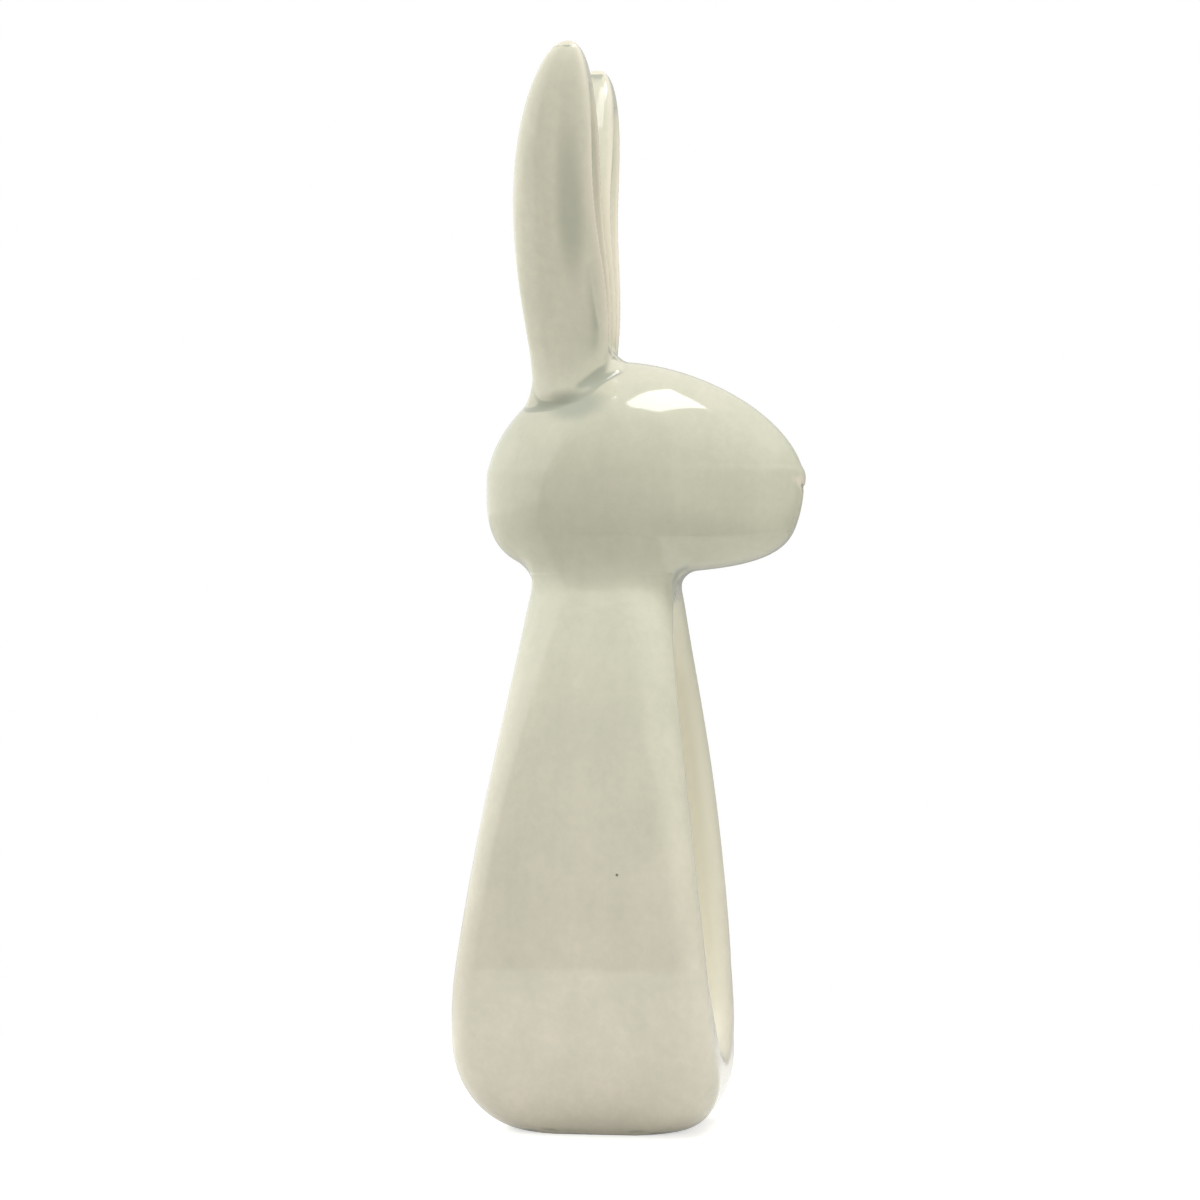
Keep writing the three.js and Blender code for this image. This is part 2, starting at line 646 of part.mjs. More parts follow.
const rabbit = new THREE.Group();
rabbit.add(meshOf("body_loop", loop, glazed(BODY_GLAZE)));
rabbit.add(meshOf("head", skull, glazed(HEAD_GLAZE)));
rabbit.add(meshOf("ear_right", earRight, glazed(EAR_GLAZE)));
rabbit.add(meshOf("ear_left", earLeft, glazed(EAR_GLAZE)));

// The origin is under the middle of the whole object's box.
const box = new THREE.Box3().setFromObject(rabbit);
rabbit.position.set(-(box.min.x + box.max.x) / 2, -(box.min.y + box.max.y) / 2, -box.min.z);

export default rabbit;
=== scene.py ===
import math

import bmesh
import bpy
import numpy as np
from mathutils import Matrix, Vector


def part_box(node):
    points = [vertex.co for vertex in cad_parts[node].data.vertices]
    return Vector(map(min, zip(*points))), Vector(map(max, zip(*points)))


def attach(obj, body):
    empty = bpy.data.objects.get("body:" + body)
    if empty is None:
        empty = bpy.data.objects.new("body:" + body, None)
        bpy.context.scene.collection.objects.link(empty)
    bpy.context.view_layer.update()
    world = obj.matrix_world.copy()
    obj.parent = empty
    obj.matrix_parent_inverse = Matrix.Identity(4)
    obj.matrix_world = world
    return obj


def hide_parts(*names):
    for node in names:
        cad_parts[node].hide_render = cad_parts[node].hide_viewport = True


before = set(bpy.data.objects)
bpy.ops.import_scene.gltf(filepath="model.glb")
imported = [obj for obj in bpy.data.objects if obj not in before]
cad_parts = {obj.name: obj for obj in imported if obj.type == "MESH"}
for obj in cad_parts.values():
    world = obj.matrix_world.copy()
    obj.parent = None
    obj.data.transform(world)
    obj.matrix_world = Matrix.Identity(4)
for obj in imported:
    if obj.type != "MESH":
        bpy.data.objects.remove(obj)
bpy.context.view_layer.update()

# The camera: a long lens held level at half the rabbit's height, almost square to its right
# side and turned a little towards its face. The loop's own axis is where the distances start.
NOSE_AHEAD_OF_AXIS = 0.0584
LENS_MM = 103.5
SENSOR_MM = 36.0
CAMERA_DISTANCE = 0.968
CAMERA_HEIGHT = 0.1473
CAMERA_SIDESTEP = 0.00056
TURN_TO_FACE = math.radians(8.5)

loop_axis_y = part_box("head")[0].y + NOSE_AHEAD_OF_AXIS
camera_data = bpy.data.cameras.new("portrait_camera")
camera_data.lens = LENS_MM
camera_data.sensor_width = SENSOR_MM
camera = bpy.data.objects.new("portrait_camera", camera_data)
bpy.context.scene.collection.objects.link(camera)
camera.location = (
    -CAMERA_DISTANCE * math.cos(TURN_TO_FACE) + CAMERA_SIDESTEP * math.sin(TURN_TO_FACE),
    loop_axis_y - CAMERA_DISTANCE * math.sin(TURN_TO_FACE) - CAMERA_SIDESTEP * math.cos(TURN_TO_FACE),
    CAMERA_HEIGHT,
)
camera.rotation_euler = (math.pi / 2, 0, TURN_TO_FACE - math.pi / 2)
bpy.context.scene.camera = camera
bpy.context.scene.view_settings.view_transform = "Standard"


# The loop: both legs, the crown over the opening and the base, one hollow slip-cast shell of
# white earthenware. The two plaster halves of its mould leave it with rolled, sponged edges.
# Its form is a field in millimetres, u forward from the loop's axis, v to the rabbit's left, z up.
NECK_Z = 154.0
BELLY_Z = 75.0
NECK_HALF_DEPTH = 19.5
NECK_DRAFT = 0.12
NECK_RUN = 50.0
HIP_HALF_DEPTH = 36.8
HIP_Z = 22.0
HIP_RUN = 20.0
NECK_FORWARD = 2.6
HIP_BACKWARD = 0.7
UNDERCUT_DEPTH = 15.6
UNDERCUT_HEIGHT = 20.5
FOOT_FORWARD = 2.2
FOOT_FORWARD_Z = 23.0
LOOP_HALF_WIDTH = 39.98
LOOP_RISE = 87.0
LOOP_DROP = 84.0
LOOP_FULLNESS = 2.2
OPENING_HALF_WIDTH = 26.0
OPENING_RISE = 70.0
OPENING_DROP = 52.5
OPENING_ROLL = 6.0
EDGE_RADIUS = 8.0
NECK_CORNER_RADIUS = 14.0
FOOT_CORNER_RADIUS = 12.5
FOOT_CORNER_Z = 50.0
FACE_CROWN = 1.2
LEAST_FLAT = 0.2
OVAL_STOPS = 0.97
STEEPEST = 3.0
ROUND = 2.0


def oval(share, fullness):
    return np.maximum(0.0, 1.0 - np.abs(share) ** fullness) ** (1.0 / fullness)


def ease(share):
    share = np.clip(share, 0.0, 1.0)
    return share * share * (3.0 - 2.0 * share)


def rolled_cut(a, b, radius):
    """What lies inside both forms, with the edge between them rolled to a radius."""
    reach = np.hypot(np.maximum(a + radius, 0.0), np.maximum(b + radius, 0.0))
    return np.minimum(np.maximum(a, b), -radius) + reach


def filleted(a, b, radius):
    """What lies inside either form, with slip worked into the corner to a radius."""
    reach = np.hypot(np.maximum(radius - a, 0.0), np.maximum(radius - b, 0.0))
    return np.maximum(np.minimum(a, b), radius) - reach


def rate(curve, z, nudge=0.05):
    return (curve(z + nudge) - curve(z - nudge)) / (2 * nudge)


along = np.linspace(0.0, 1.0, 4001)
bezier = [(1 - along) ** 3, 3 * along * (1 - along) ** 2, 3 * along**2 * (1 - along), along**3]
side_depths = (NECK_HALF_DEPTH, NECK_HALF_DEPTH + NECK_DRAFT * NECK_RUN, HIP_HALF_DEPTH, HIP_HALF_DEPTH)
side_levels = (NECK_Z, NECK_Z - NECK_RUN, HIP_Z + HIP_RUN, HIP_Z)
side_depth = sum(w * d for w, d in zip(bezier, side_depths))[::-1]
side_level = sum(w * z for w, z in zip(bezier, side_levels))[::-1]


def bell_half_depth(z):
    side = np.interp(z, side_level, side_depth)
    under = np.clip((UNDERCUT_HEIGHT - z) / UNDERCUT_HEIGHT, 0.0, 1.0)
    return side - UNDERCUT_DEPTH * (1.0 - oval(under, ROUND))


def bell_half_width(z):
    rise = oval(np.clip((z - BELLY_Z) / LOOP_RISE, 0.0, OVAL_STOPS), LOOP_FULLNESS)
    drop = oval(np.clip((BELLY_Z - z) / LOOP_DROP, 0.0, OVAL_STOPS), ROUND)
    return LOOP_HALF_WIDTH * np.where(z > BELLY_Z, rise, drop)


def bell_forward(z):
    climb = np.clip((z - HIP_Z - HIP_RUN) / (NECK_Z - HIP_Z - HIP_RUN), 0.0, 1.0)
    foot = FOOT_FORWARD * np.clip(1.0 - z / FOOT_FORWARD_Z, 0.0, 1.0)
    return (NECK_FORWARD + HIP_BACKWARD) * np.sin(climb * math.pi / 2) - HIP_BACKWARD + foot


def bell_form(u, v, z):
    z = np.maximum(z, 0.0)
    a, b, c = bell_half_depth(z), bell_half_width(z), bell_forward(z)
    up = ease((z - BELLY_Z) / (NECK_Z - BELLY_Z))
    down = ease((FOOT_CORNER_Z - z) / FOOT_CORNER_Z)
    corner = EDGE_RADIUS + up * (NECK_CORNER_RADIUS - EDGE_RADIUS)
    corner = corner + down * (FOOT_CORNER_RADIUS - EDGE_RADIUS)
    corner = np.minimum(corner, np.minimum(a, b) - LEAST_FLAT)
    deep = np.abs(u - c) - (a - corner)
    wide = np.abs(v) * (1.0 + FACE_CROWN / b * ((u - c) / a) ** 2) - (b - corner)
    reach = np.hypot(np.maximum(deep, 0.0), np.maximum(wide, 0.0))
    level = reach + np.minimum(np.maximum(deep, wide), 0.0) - corner
    share = np.where(reach > 0.0, np.maximum(deep, 0.0) / np.maximum(reach, 1e-9), deep > wide)
    lean = share * (rate(bell_half_depth, z) + np.sign(u - c) * rate(bell_forward, z))
    lean = lean + np.sqrt(np.maximum(1.0 - share * share, 0.0)) * rate(bell_half_width, z)
    return level / np.sqrt(1.0 + np.minimum(lean * lean, STEEPEST**2))


def opening_form(u, v, z):
    rise = z - BELLY_Z
    high = np.where(rise > 0.0, OPENING_RISE, OPENING_DROP)
    full = np.where(rise > 0.0, LOOP_FULLNESS, ROUND)
    across = np.maximum(np.abs(v) / OPENING_HALF_WIDTH, 1e-6)
    level = np.maximum(np.abs(rise) / high, 1e-6)
    size = (across**full + level**full) ** (1.0 / full)
    across_slope = (across / size) ** (full - 1.0) / OPENING_HALF_WIDTH
    level_slope = (level / size) ** (full - 1.0) / high
    return (size - 1.0) / np.hypot(across_slope, level_slope) + 0.0 * u


# The head rests on the neck, and the slip worked into their joint belongs to both pieces. The
# head's outline is measured from its axis, with a fullness for each quarter of the side view.
HEAD_AXIS_Z = 181.0
HEAD_AXIS_FORWARD = 6.0
HEAD_FRONT = 52.1
CHIN_SETBACK = 1.5
CHIN_STEEPNESS = 3.0
HEAD_BACK = 37.5
HEAD_UP = 33.1
HEAD_DOWN = 27.0
HEAD_HALF_WIDTH = 25.0
BROW_FULLNESS = 1.72
CHIN_FULLNESS = 4.2
CHIN_LIFT = 3.0
CROWN_FULLNESS = 1.75
NAPE_FULLNESS = 3.3
CHEEK_FULLNESS = 2.5
TEMPLE_FULLNESS = 1.7
TEMPLE_BLEND = 50.0
MUZZLE_TAPER = 0.22
QUARTER_BLEND = 8.0
AXIS_SOFTENING = 0.05
NECK_STUMP_Z = 172.0
NECK_JOIN_RADIUS = 6.0
NECK_JOIN_SIDE_RADIUS = 11.0
NECK_JOIN_WIDENS = (8.0, 16.0)
NECK_JOIN_ENDS_Z = 176.0
NECK_STRAIGHT_Z = 158.5
NECK_BEND = 3.0
LEAST_JOIN = 0.1


def skull_form(u, v, z):
    ahead = u - HEAD_AXIS_FORWARD
    rise = z - HEAD_AXIS_Z
    lifted = 1.0 - CHIN_LIFT * np.clip(ahead, 0.0, HEAD_FRONT) / (HEAD_FRONT * HEAD_DOWN)
    rise = np.where(rise < 0.0, rise / lifted, rise)
    sine = rise / np.maximum(np.hypot(ahead, rise), 1e-6)
    reach = np.where(ahead > 0.0, HEAD_FRONT - CHIN_SETBACK * ease(-CHIN_STEEPNESS * sine), HEAD_BACK)
    high = np.where(rise > 0.0, HEAD_UP, HEAD_DOWN)
    fore = ease(0.5 + ahead / QUARTER_BLEND)
    above = ease(0.5 + rise / QUARTER_BLEND)
    upper = CROWN_FULLNESS + (BROW_FULLNESS - CROWN_FULLNESS) * fore
    lower = NAPE_FULLNESS + (CHIN_FULLNESS - NAPE_FULLNESS) * fore
    full = lower + (upper - lower) * above
    a = np.hypot(ahead / reach, AXIS_SOFTENING)
    b = np.hypot(rise / high, AXIS_SOFTENING)
    side = (a**full + b**full) ** (1.0 / full)
    half = HEAD_HALF_WIDTH * (1.0 - MUZZLE_TAPER * ease(ahead / HEAD_FRONT))
    cheek = np.maximum(np.abs(v) / half, 1e-6)
    round_to = CHEEK_FULLNESS + (TEMPLE_FULLNESS - CHEEK_FULLNESS) * ease(0.5 + rise / TEMPLE_BLEND)
    size = (side**round_to + cheek**round_to) ** (1.0 / round_to)
    by_side = (side / size) ** (round_to - 1.0)
    by_cheek = (cheek / size) ** (round_to - 1.0) / half
    ahead_slope = by_side * (a / side) ** (full - 1.0) / reach
    rise_slope = by_side * (b / side) ** (full - 1.0) / high
    return (size - 1.0) / np.sqrt(ahead_slope**2 + rise_slope**2 + by_cheek**2)


def luted_neck(u, v, z):
    held = (z + NECK_STRAIGHT_Z - np.hypot(z - NECK_STRAIGHT_Z, NECK_BEND)) / 2
    neck = np.maximum(bell_form(u, v, held), z - NECK_STUMP_Z)
    low, high = NECK_JOIN_WIDENS
    beside = ease((np.abs(v) - low) / (high - low))
    radius = NECK_JOIN_RADIUS + (NECK_JOIN_SIDE_RADIUS - NECK_JOIN_RADIUS) * beside
    radius = LEAST_JOIN + radius * ease((NECK_JOIN_ENDS_Z - z) / (NECK_JOIN_ENDS_Z - NECK_Z))
    return filleted(neck, skull_form(u, v, z), radius)


def loop_form(u, v, z):
    ring = rolled_cut(luted_neck(u, v, z), -opening_form(u, v, z), OPENING_ROLL)
    return np.maximum(ring, -z)


def slope(form, points, reach=0.15):
    """The direction in which a form grows at each point, by central differences."""
    sides = []
    for axis in range(3):
        move = np.zeros(3)
        move[axis] = reach
        sides.append(form(*(points + move).T) - form(*(points - move).T))
    return np.stack(sides, 1) / (2 * reach)


def settled(form, points, most, rounds):
    """The points moved on to the surface of a form, each by no more than a given length."""
    for _ in range(rounds):
        way = slope(form, points)
        step = -form(*points.T) / np.maximum((way**2).sum(1), 1e-3)
        step = step[:, None] * way
        length = np.linalg.norm(step, axis=1, keepdims=True)
        points = points + step * np.minimum(1.0, most / np.maximum(length, 1e-9))
    return points


def skin_of(form, low, high, step):
    """A skin of even quads over the surface of a form, by surface nets on a grid of that step."""
    axes = [np.arange(a, b + step, step) for a, b in zip(low, high)]
    depth = form(*np.meshgrid(*axes, indexing="ij", sparse=True))
    inside = depth < 0.0
    corners = [(i, j, k) for i in (0, 1) for j in (0, 1) for k in (0, 1)]
    shape = np.array(depth.shape) - 1
    window = {c: tuple(slice(o, o + n) for o, n in zip(c, shape)) for c in corners}
    count = sum(inside[window[c]].astype(int) for c in corners)
    cells = np.argwhere((count > 0) & (count < 8))
    number = np.full(count.shape, -1)
    number[tuple(cells.T)] = np.arange(len(cells))
    values = {c: depth[window[c]][tuple(cells.T)] for c in corners}
    total = np.zeros((len(cells), 3))
    hits = np.zeros((len(cells), 1))
    for a in corners:
        for axis in range(3):
            if a[axis] == 1:
                continue
            b = tuple(o + (k == axis) for k, o in enumerate(a))
            crosses = (values[a] < 0.0) != (values[b] < 0.0)
            share = values[a][crosses] / (values[a][crosses] - values[b][crosses])
            place = np.tile(np.array(a, float), (crosses.sum(), 1))
            place[:, axis] += share
            total[crosses] += place
            hits[crosses] += 1.0
    points = np.array(low) + (cells + total / hits) * step
    quads = []
    for axis in range(3):
        unit = np.eye(3, dtype=int)
        across, up = unit[(axis + 1) % 3], unit[(axis + 2) % 3]
        lower = inside[tuple(slice(0, n) if k == axis else slice(1, n) for k, n in enumerate(shape))]
        upper = inside[tuple(slice(1, n + 1) if k == axis else slice(1, n) for k, n in enumerate(shape))]
        for out in (True, False):
            edges = np.argwhere((lower != upper) & (lower == out)) + across + up
            ring = [edges, edges - across, edges - across - up, edges - up]
            ring = np.stack([number[tuple(r.T)] for r in ring], 1)
            quads.append(ring if out else ring[:, ::-1])
    quads = np.concatenate(quads)
    pairs = np.concatenate([quads[:, [k, (k + 1) % 4]] for k in range(4)])
    pairs = np.concatenate([pairs, pairs[:, ::-1]])
    for _ in range(4):
        points = settled(form, points, step / 2, 1)
        sums = [np.bincount(pairs[:, 0], points[pairs[:, 1], k], len(points)) for k in range(3)]
        around = np.bincount(pairs[:, 0], minlength=len(points))
        points = np.stack(sums, 1) / np.maximum(around, 1)[:, None]
    return settled(form, points, step / 2, 3), quads


# A metre in millimetres, how near a cut a point or a face counts as on it, and how wide a bend in
# the surface is measured for the glaze's lighter rims and darker creases.
MM = 1000.0
ON_CUT = 1e-3
NEAR_CUT = 2e-2
LEVEL_FACE = 0.999
CREASE_REACH = 1.6


def cast_piece(name, form, low, high, step, floor_z=None, top_z=None, foot=None):
    """A mesh object of a form, cut flat and closed at its joints, with the form's own normals."""
    points, quads = skin_of(form, low, high, step)
    mesh = bpy.data.meshes.new(name)
    mesh.from_pydata(points.tolist(), [], quads.tolist())
    shape = bmesh.new()
    shape.from_mesh(mesh)
    for level, up in ((floor_z, -1.0), (top_z, 1.0)):
        if level is None:
            continue
        everything = shape.verts[:] + shape.edges[:] + shape.faces[:]
        plane = {"plane_co": (0, 0, level), "plane_no": (0, 0, up), "dist": ON_CUT / 10}
        bmesh.ops.bisect_plane(shape, geom=everything, clear_outer=True, **plane)
        rim = [e for e in shape.edges if e.is_boundary]
        rim = [e for e in rim if all(abs(v.co.z - level) < ON_CUT for v in e.verts)]
        if foot and up < 0:
            foot(shape, rim)
        else:
            bmesh.ops.holes_fill(shape, edges=rim, sides=0)
    shape.to_mesh(mesh)
    shape.free()
    spots = np.zeros(len(mesh.vertices) * 3)
    mesh.vertices.foreach_get("co", spots)
    spots = spots.reshape(-1, 3)
    normals = slope(form, spots)
    normals /= np.maximum(np.linalg.norm(normals, axis=1, keepdims=True), 1e-9)
    moves = [side * CREASE_REACH * axis for axis in np.eye(3) for side in (-1, 1)]
    bend = sum(form(*(spots + move).T) for move in moves)
    bend = (bend - 6 * form(*spots.T)) / CREASE_REACH**2
    in_place = np.stack([spots[:, 1], loop_axis_y * MM - spots[:, 0], spots[:, 2]], 1) / MM
    mesh.vertices.foreach_set("co", in_place.ravel())
    mesh.update()
    mesh.attributes.new("glaze_bend", "FLOAT", "POINT").data.foreach_set("value", bend)
    mesh.polygons.foreach_set("use_smooth", [True] * len(mesh.polygons))
    normals = np.stack([normals[:, 1], -normals[:, 0], normals[:, 2]], 1)
    corner_vertices = np.zeros(len(mesh.loops), int)
    mesh.loops.foreach_get("vertex_index", corner_vertices)
    corner_normals = normals[corner_vertices]
    flats = [level for level in (floor_z, top_z) if level is not None]
    for face in mesh.polygons:
        level = face.center.z * MM
        flat = any(abs(level - f) < NEAR_CUT for f in flats) and abs(face.normal.z) > LEVEL_FACE
        if flat or face.material_index:
            corner_normals[list(face.loop_indices)] = face.normal
    mesh.normals_split_custom_set(corner_normals.tolist())
    piece = bpy.data.objects.new(name, mesh)
    bpy.context.scene.collection.objects.link(piece)
    return piece


# The foot: the flat rim that the glaze is sponged off, a shallow recess and the drain hole.
FOOT_RIM = 4.0
RIM_ROUNDING = (0.5, 0.3)
FOOT_RECESS = 1.0
RECESS_STEPS_IN = 0.8
DRAIN_HOLE_RADIUS = 3.0
DRAIN_ROUNDING = (0.5, 0.4)
DRAIN_DEPTH = 4.4
FOOT_SLICE = 0.03
LOOP_SPACE = ((-40, -43, -2), (42, 43, 157))
LOOP_MESH_STEP = 1.0


def sponged_foot(shape, rim):
    start = sorted({v for e in rim for v in e.verts}, key=lambda v: math.atan2(v.co.y, v.co.x - foot_u))
    rings = [start]
    deep, wide = foot_depth - FOOT_RIM, foot_width - FOOT_RIM
    rim_in, rim_up = RIM_ROUNDING
    drain_in, drain_up = DRAIN_ROUNDING
    mouth = DRAIN_HOLE_RADIUS + drain_in
    sizes = [
        (deep, wide, 0.0),
        (deep - rim_in, wide - rim_in, rim_up),
        (deep - RECESS_STEPS_IN, wide - RECESS_STEPS_IN, FOOT_RECESS),
        (mouth, mouth, FOOT_RECESS),
        (DRAIN_HOLE_RADIUS, DRAIN_HOLE_RADIUS, FOOT_RECESS + drain_up),
        (DRAIN_HOLE_RADIUS, DRAIN_HOLE_RADIUS, DRAIN_DEPTH),
    ]
    for v in start:
        v.co.z = 0.0
    for half_depth, half_width, z in sizes:
        ring = []
        for v in start:
            angle = math.atan2(v.co.y / foot_width, (v.co.x - foot_u) / foot_depth)
            spot = (foot_u + half_depth * math.cos(angle), half_width * math.sin(angle), z)
            ring.append(shape.verts.new(spot))
        rings.append(ring)
    for outer, deeper in zip(rings, rings[1:]):
        for i in range(len(start)):
            j = (i + 1) % len(start)
            face = shape.faces.new((outer[j], outer[i], deeper[i], deeper[j]))
            face.material_index = 1
    lid = shape.faces.new(rings[-1][::-1])
    lid.material_index = 1


foot_u = float(bell_forward(0.0))
foot_depth = float(bell_half_depth(0.0))
foot_width = float(bell_half_width(0.0))
loop = cast_piece(
    "glazed_loop", loop_form, *LOOP_SPACE, LOOP_MESH_STEP, FOOT_SLICE, NECK_Z, sponged_foot
)


# Ivory gloss glaze over white earthenware, dipped and fired: a clear glassy coat over an opaque
# cream. Over rims it is painted lighter and warmer, partly glaze running thin and partly a painted
# highlight; in creases it is painted darker grey-green, partly pooled glaze and partly painted shade.
# It clouds a little as it melts. A few gas pinholes and a faint waviness of the melt are left in it.
# A paler cream painted over the inside of the loop's opening: painted light where the legs shade each
# other.
INSIDE_PAINTED_LIGHT_TINT = "E4E0CC"
CLOUD_SHADE = "F0F3F2"
RABBIT_MM = 300.0
IVORY_BY_HEIGHT = {
    40.0: "E3DCC9",
    140.0: "D3D1BC",
    165.0: "CBC9B4",
    198.0: "CBC9B4",
    225.0: "DAD6C1",
}
# Lighter and warmer over convex bends: partly glaze running thin, partly a painted highlight on the
# rims.
THIN_GLAZE_AND_PAINTED_SHEEN = "E2D8C6"
THIN_AND_SHEEN_ON_BENDS = (0.10, 0.9)
THIN_AND_SHEEN_SHOWS = 0.7
# Darker grey-green in concave bends and in the patches that use it: partly pooled glaze, partly painted
# shade.
POOLED_GLAZE_AND_PAINTED_SHADE = "A9AB9A"
POOLED_AND_SHADED_IN_BENDS = (-0.02, -0.28)
PINHOLE = "6F6B5C"
GLAZE_IOR = 1.52
GLAZE_ROUGHNESS = (0.05, 0.09)
ROUGHER_IN_CLOUDS = (0.3, 0.7)
CLOUD_MM = 17.0
CLOUD_SHARE = 0.6
CURDLE_MM = 2.6
CURDLE_SHARE = 0.45
RUN_LENGTH_MM = 45.0
RUN_WIDTH_MM = 7.0
RUN_SHARE = 0.35
MILKY_BETWEEN = (0.5, 0.9)
MELT_WAVE_MM = 9.0
PINHOLE_MM = 0.55
PINHOLE_DEPTH = 1.5
MELT_WAVE_HEIGHT = 0.00004


def linear(code, alpha=1.0):
    channels = [int(code[i : i + 2], 16) / 255 for i in (0, 2, 4)]
    return [c / 12.92 if c <= 0.04045 else ((c + 0.055) / 1.055) ** 2.4 for c in channels] + [alpha]


def add(tree, kind, inputs=(), **settings):
    """A shader node with its settings, and its inputs as values or as sockets to link from."""
    made = tree.nodes.new("ShaderNode" + kind)
    for name, value in settings.items():
        setattr(made, name, value)
    for socket, value in dict(inputs).items():
        if isinstance(value, bpy.types.NodeSocket):
            tree.links.new(value, made.inputs[socket])
        else:
            made.inputs[socket].default_value = value
    return made


def dipped_ivory_glaze(name, pinholes=(), patches=()):
    material = bpy.data.materials.new(name)
    material.use_nodes = True
    tree = material.node_tree
    tree.nodes.clear()
    place = add(tree, "TexCoord").outputs["Object"]
    mm = add(tree, "VectorMath", {"Vector": place, "Scale": MM}, operation="SCALE").outputs[0]
    soft = {"Vector": mm, "Scale": 1 / CLOUD_MM, "Detail": 4.0, "Roughness": 0.6}
    cloud = add(tree, "TexNoise", soft)
    fine = {"Vector": mm, "Scale": 1 / CURDLE_MM, "Detail": 3.0, "Roughness": 0.7}
    curdle = add(tree, "TexNoise", fine)
    stretch = (1 / RUN_WIDTH_MM, 1 / RUN_WIDTH_MM, 1 / RUN_LENGTH_MM)
    down = add(tree, "Mapping", {"Vector": mm, "Scale": stretch}).outputs[0]
    runs = add(tree, "TexNoise", {"Vector": down, "Scale": 1.0, "Detail": 2.0})
    blend = 0.0
    for noise, share in ((cloud, CLOUD_SHARE), (curdle, CURDLE_SHARE), (runs, RUN_SHARE)):
        mixed = {0: noise.outputs[0], 1: share, 2: blend}
        blend = add(tree, "Math", mixed, operation="MULTIPLY_ADD").outputs[0]
    low, high = MILKY_BETWEEN
    milky = add(tree, "MapRange", {"Value": blend, "From Min": low, "From Max": high})
    height_mm = add(tree, "SeparateXYZ", {0: mm}).outputs[2]
    climb = add(tree, "Math", {0: height_mm, 1: RABBIT_MM}, operation="DIVIDE").outputs[0]
    ramp = add(tree, "ValToRGB", {0: climb})
    stops = ramp.color_ramp.elements
    while len(stops) < len(IVORY_BY_HEIGHT):
        stops.new(0.5)
    for stop, (level, tint) in zip(stops, IVORY_BY_HEIGHT.items()):
        stop.position = level / RABBIT_MM
        stop.color = linear(tint)
    shaded = {0: milky.outputs[0], 6: ramp.outputs[0], 7: linear(CLOUD_SHADE)}
    body = add(tree, "Mix", shaded, data_type="RGBA", blend_type="MULTIPLY")
    bend = add(tree, "Attribute", attribute_name="glaze_bend").outputs["Fac"]
    colour = body.outputs[2]
    # Lighter over rims (thin glaze and painted highlight), darker in creases (pooled glaze and painted
    # shade).
    for tint, (low, high), most in (
        (THIN_GLAZE_AND_PAINTED_SHEEN, THIN_AND_SHEEN_ON_BENDS, THIN_AND_SHEEN_SHOWS),
        (POOLED_GLAZE_AND_PAINTED_SHADE, POOLED_AND_SHADED_IN_BENDS, 1.0),
    ):
        felt = {"Value": bend, "From Min": low, "From Max": high, "To Max": most}
        felt = add(tree, "MapRange", felt, interpolation_type="SMOOTHSTEP").outputs[0]
        colour = add(tree, "Mix", {0: felt, 6: colour, 7: linear(tint)}, data_type="RGBA").outputs[2]
    # Patches mix their tint in towards their middles; they carry painted light and painted shade as well
    # as pooled glaze.
    for spot, reach, core, share, tint in patches:
        away = add(tree, "VectorMath", {0: mm, 1: spot}, operation="SUBTRACT").outputs[0]
        shares = {0: away, 1: [1 / r for r in reach]}
        away = add(tree, "VectorMath", shares, operation="MULTIPLY").outputs[0]
        away = add(tree, "VectorMath", {0: away}, operation="LENGTH").outputs["Value"]
        full = {"Value": away, "From Min": 1.0, "From Max": core, "To Max": share}
        deep = add(tree, "MapRange", full, interpolation_type="SMOOTHSTEP").outputs[0]
        colour = add(tree, "Mix", {0: deep, 6: colour, 7: linear(tint)}, data_type="RGBA").outputs[2]
    wave = add(tree, "TexNoise", {"Vector": mm, "Scale": 1 / MELT_WAVE_MM, "Detail": 1.0})
    height = wave.outputs[0]
    for spot in pinholes:
        away = add(tree, "VectorMath", {0: mm, 1: spot}, operation="DISTANCE").outputs["Value"]
        inward = {"Value": away, "From Min": PINHOLE_MM, "From Max": PINHOLE_MM / 2}
        hole = add(tree, "MapRange", inward).outputs[0]
        colour = add(tree, "Mix", {0: hole, 6: colour, 7: linear(PINHOLE)}, data_type="RGBA").outputs[2]
        sunk = {0: hole, 1: -PINHOLE_DEPTH, 2: height}
        height = add(tree, "Math", sunk, operation="MULTIPLY_ADD").outputs[0]
    bump = add(tree, "Bump", {"Height": height, "Strength": 1.0, "Distance": MELT_WAVE_HEIGHT})
    clouded = {"Value": cloud.outputs[0]}
    clouded["From Min"], clouded["From Max"] = ROUGHER_IN_CLOUDS
    clouded["To Min"], clouded["To Max"] = GLAZE_ROUGHNESS
    rough = add(tree, "MapRange", clouded)
    surface = add(
        tree,
        "BsdfPrincipled",
        {
            "Base Color": colour,
            "Roughness": rough.outputs[0],
            "IOR": GLAZE_IOR,
            "Normal": bump.outputs[0],
        },
    )
    add(tree, "OutputMaterial", {"Surface": surface.outputs[0]})
    return material


# The sponged foot shows the bare earthenware: dry, finely gritty and a shade pinker than the glaze.
BISQUE = "D9CDBB"
BISQUE_GRIT = "C2B39E"
GRIT_MM = 0.5
GRIT_HEIGHT = 0.0001
BISQUE_ROUGHNESS = 0.85
BISQUE_IOR = 1.45


